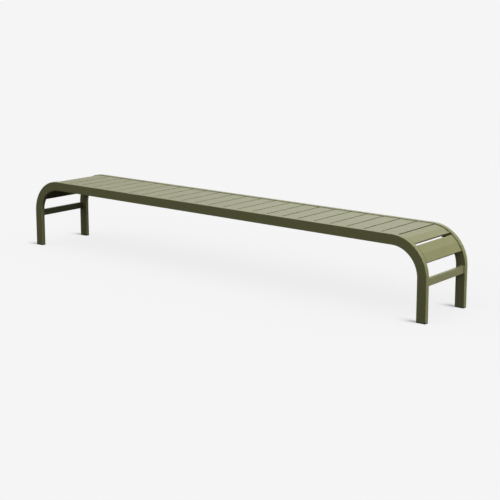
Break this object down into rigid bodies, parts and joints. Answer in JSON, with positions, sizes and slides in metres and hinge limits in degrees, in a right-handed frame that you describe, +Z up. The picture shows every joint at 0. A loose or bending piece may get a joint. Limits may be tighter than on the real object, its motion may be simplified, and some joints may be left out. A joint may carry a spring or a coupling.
{
  "type": "backless bench",
  "caption": "Long backless street bench: two bent-tube side frames with cross slats between them that curve down at both ends.",
  "frame": {"origin": "on the floor, under the middle of the seat", "axes": "+X along the bench, +Y across it from the front frame to the rear frame, +Z up"},
  "size_m": [3, 0.42, 0.442],
  "materials": {
    "frame_powder_coat": "satin",
    "slat_powder_coat": "satin",
    "cap_plastic": "matte"
  },
  "bodies": {
    "root": {"side_frame_front": "frame_powder_coat", "side_frame_rear": "frame_powder_coat", "leg_stretcher_left": "frame_powder_coat", "leg_stretcher_right": "frame_powder_coat", "seat_slat_01": "slat_powder_coat", "seat_slat_02": "slat_powder_coat", "seat_slat_03": "slat_powder_coat", "seat_slat_04": "slat_powder_coat", "seat_slat_05": "slat_powder_coat", "seat_slat_06": "slat_powder_coat", "seat_slat_07": "slat_powder_coat", "seat_slat_08": "slat_powder_coat", "seat_slat_09": "slat_powder_coat", "seat_slat_10": "slat_powder_coat", "seat_slat_11": "slat_powder_coat", "seat_slat_12": "slat_powder_coat", "seat_slat_13": "slat_powder_coat", "seat_slat_14": "slat_powder_coat", "seat_slat_15": "slat_powder_coat", "seat_slat_16": "slat_powder_coat", "seat_slat_17": "slat_powder_coat", "seat_slat_18": "slat_powder_coat", "seat_slat_19": "slat_powder_coat", "seat_slat_20": "slat_powder_coat", "seat_slat_21": "slat_powder_coat", "seat_slat_22": "slat_powder_coat", "seat_slat_23": "slat_powder_coat", "seat_slat_24": "slat_powder_coat", "end_slat_upper_left": "slat_powder_coat", "end_slat_upper_right": "slat_powder_coat", "end_slat_lower_left": "slat_powder_coat", "end_slat_lower_right": "slat_powder_coat", "foot_cap_front_left": "cap_plastic", "foot_cap_front_right": "cap_plastic", "foot_cap_rear_left": "cap_plastic", "foot_cap_rear_right": "cap_plastic"}
  },
  "joints": []
}
